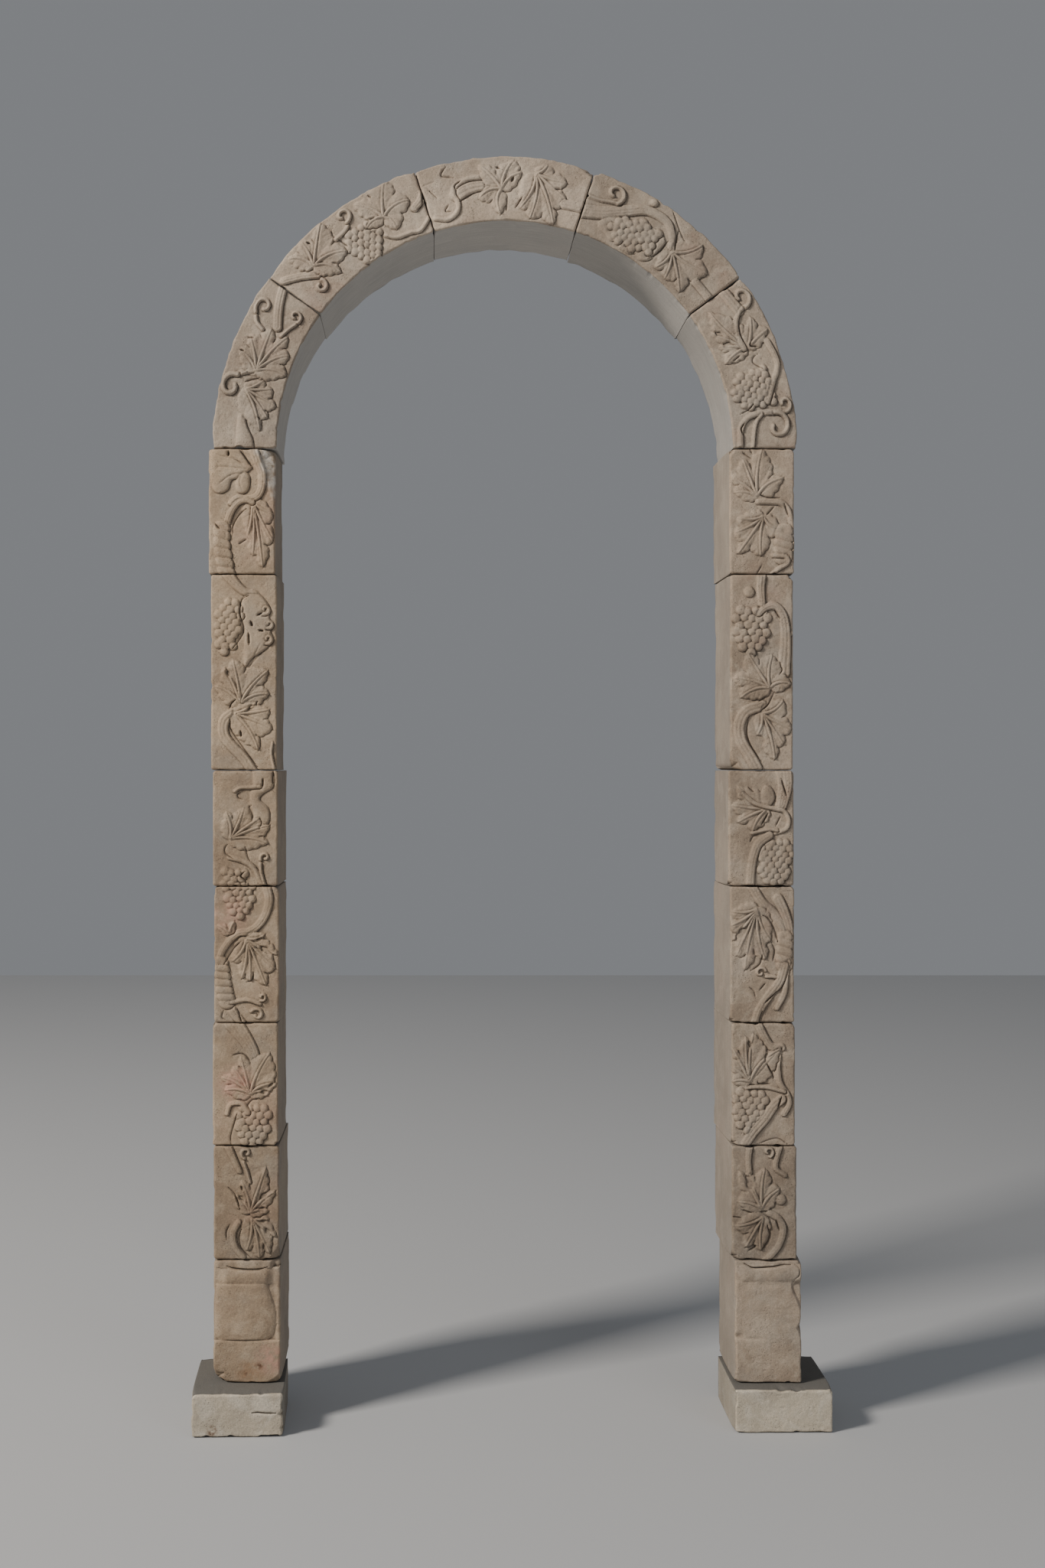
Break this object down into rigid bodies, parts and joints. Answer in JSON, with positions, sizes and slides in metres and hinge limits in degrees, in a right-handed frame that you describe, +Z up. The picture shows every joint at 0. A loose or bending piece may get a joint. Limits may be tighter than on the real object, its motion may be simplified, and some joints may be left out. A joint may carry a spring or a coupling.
{
  "type": "arched door surround",
  "caption": "Free-standing round-arched stone door surround of stacked jamb stones and arch stones on plinth blocks, fronts carved in low relief with vine, leaves and grapes.",
  "frame": {"origin": "on the ground under the middle of the whole footprint", "axes": "+Z up, -Y the way the carved front faces, +X to the viewer's right"},
  "size_m": [1.4176, 0.3182, 2.8275],
  "materials": {
    "plinth_stone": "sawn and weathered, matt",
    "left_jamb_stone": "carved and weathered, matt",
    "right_jamb_stone": "carved and weathered, matt",
    "arch_stone": "carved and weathered, matt"
  },
  "bodies": {
    "root": {"plinth_left": "plinth_stone", "plinth_right": "plinth_stone", "base_left": "left_jamb_stone", "jamb_left_1": "left_jamb_stone", "jamb_left_2": "left_jamb_stone", "jamb_left_3": "left_jamb_stone", "jamb_left_4": "left_jamb_stone", "jamb_left_5": "left_jamb_stone", "jamb_left_6": "left_jamb_stone", "base_right": "right_jamb_stone", "jamb_right_1": "right_jamb_stone", "jamb_right_2": "right_jamb_stone", "jamb_right_3": "right_jamb_stone", "jamb_right_4": "right_jamb_stone", "jamb_right_5": "right_jamb_stone", "jamb_right_6": "right_jamb_stone", "voussoir_1": "arch_stone", "voussoir_2": "arch_stone", "voussoir_3": "arch_stone", "voussoir_4": "arch_stone", "voussoir_5": "arch_stone"}
  },
  "joints": []
}
